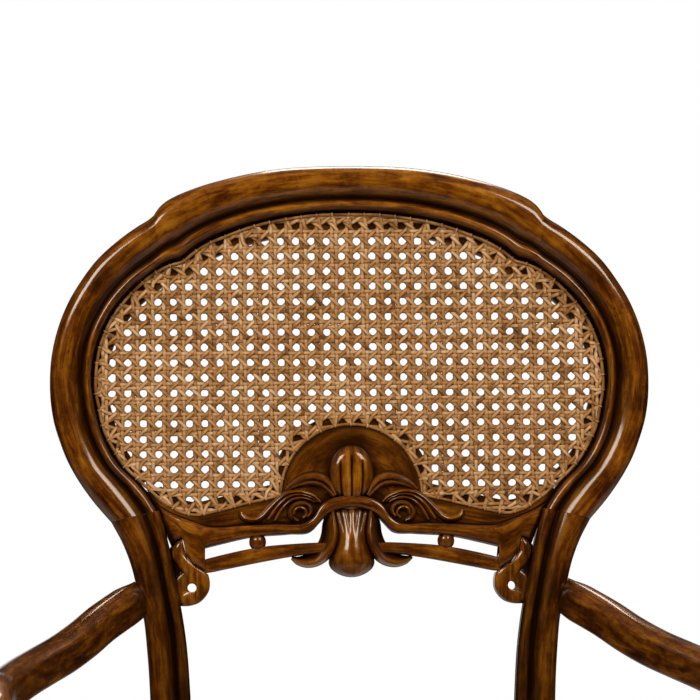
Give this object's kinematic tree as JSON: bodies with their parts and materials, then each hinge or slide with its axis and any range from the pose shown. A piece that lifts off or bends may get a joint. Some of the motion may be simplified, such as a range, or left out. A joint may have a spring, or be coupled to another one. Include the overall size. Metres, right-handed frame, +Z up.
{
  "type": "cane back armchair",
  "caption": "Dark carved wood armchair with a rounded cane back, scrolled arms, cabriole front legs and an upholstered seat.",
  "frame": {"origin": "centre of the chair's box on the floor, under the glides", "axes": "+X to the right as seen from the front, across the chair; -Y towards the front; +Z up"},
  "size_m": [0.591, 0.5962, 1.0364],
  "materials": {
    "dark_walnut": "dark stained hardwood, glossy lacquer, worn at the edges",
    "cane": "split rattan cane, clear varnish, aged to honey brown",
    "beech": "sawn, unfinished",
    "steel": "plain steel",
    "jute": "coarse jute weave",
    "wadding": "hair and cotton wadding",
    "upholstery": "plain woven cloth",
    "black_cloth": "thin black cambric"
  },
  "bodies": {
    "root": {"arm_left": "dark_walnut", "arm_peg_left": "dark_walnut", "arm_peg_right": "dark_walnut", "arm_right": "dark_walnut", "arm_support_left": "dark_walnut", "arm_support_right": "dark_walnut", "bead_left": "dark_walnut", "bead_right": "dark_walnut", "block_screw_front_left_1": "steel", "block_screw_front_left_2": "steel", "block_screw_front_right_1": "steel", "block_screw_front_right_2": "steel", "block_screw_rear_left_1": "steel", "block_screw_rear_left_2": "steel", "block_screw_rear_right_1": "steel", "block_screw_rear_right_2": "steel", "cane_binder": "cane", "cane_panel": "cane", "corner_block_front_left": "beech", "corner_block_front_right": "beech", "corner_block_rear_left": "beech", "corner_block_rear_right": "beech", "crest_rail": "dark_walnut", "dust_cover": "black_cloth", "front_leg_left": "dark_walnut", "front_leg_right": "dark_walnut", "front_seat_rail": "dark_walnut", "glide_front_left": "steel", "glide_front_right": "steel", "glide_rear_left": "steel", "glide_rear_right": "steel", "hessian": "jute", "leaf_scroll_left": "dark_walnut", "leaf_scroll_right": "dark_walnut", "lower_back_rail": "dark_walnut", "lower_bar_left": "dark_walnut", "lower_bar_right": "dark_walnut", "palmette": "dark_walnut", "pendant": "dark_walnut", "rear_leg_left": "dark_walnut", "rear_leg_right": "dark_walnut", "rear_seat_rail": "dark_walnut", "scroll_ear_left": "dark_walnut", "scroll_ear_right": "dark_walnut", "seat_cover": "upholstery", "seat_gimp": "upholstery", "seat_stuffing": "wadding", "side_member_left": "dark_walnut", "side_member_right": "dark_walnut", "side_seat_rail_left": "dark_walnut", "side_seat_rail_right": "dark_walnut", "support_screw_left": "steel", "support_screw_right": "steel", "webbing_cross_1": "jute", "webbing_cross_2": "jute", "webbing_cross_3": "jute", "webbing_long_1": "jute", "webbing_long_2": "jute", "webbing_long_3": "jute"}
  },
  "joints": []
}
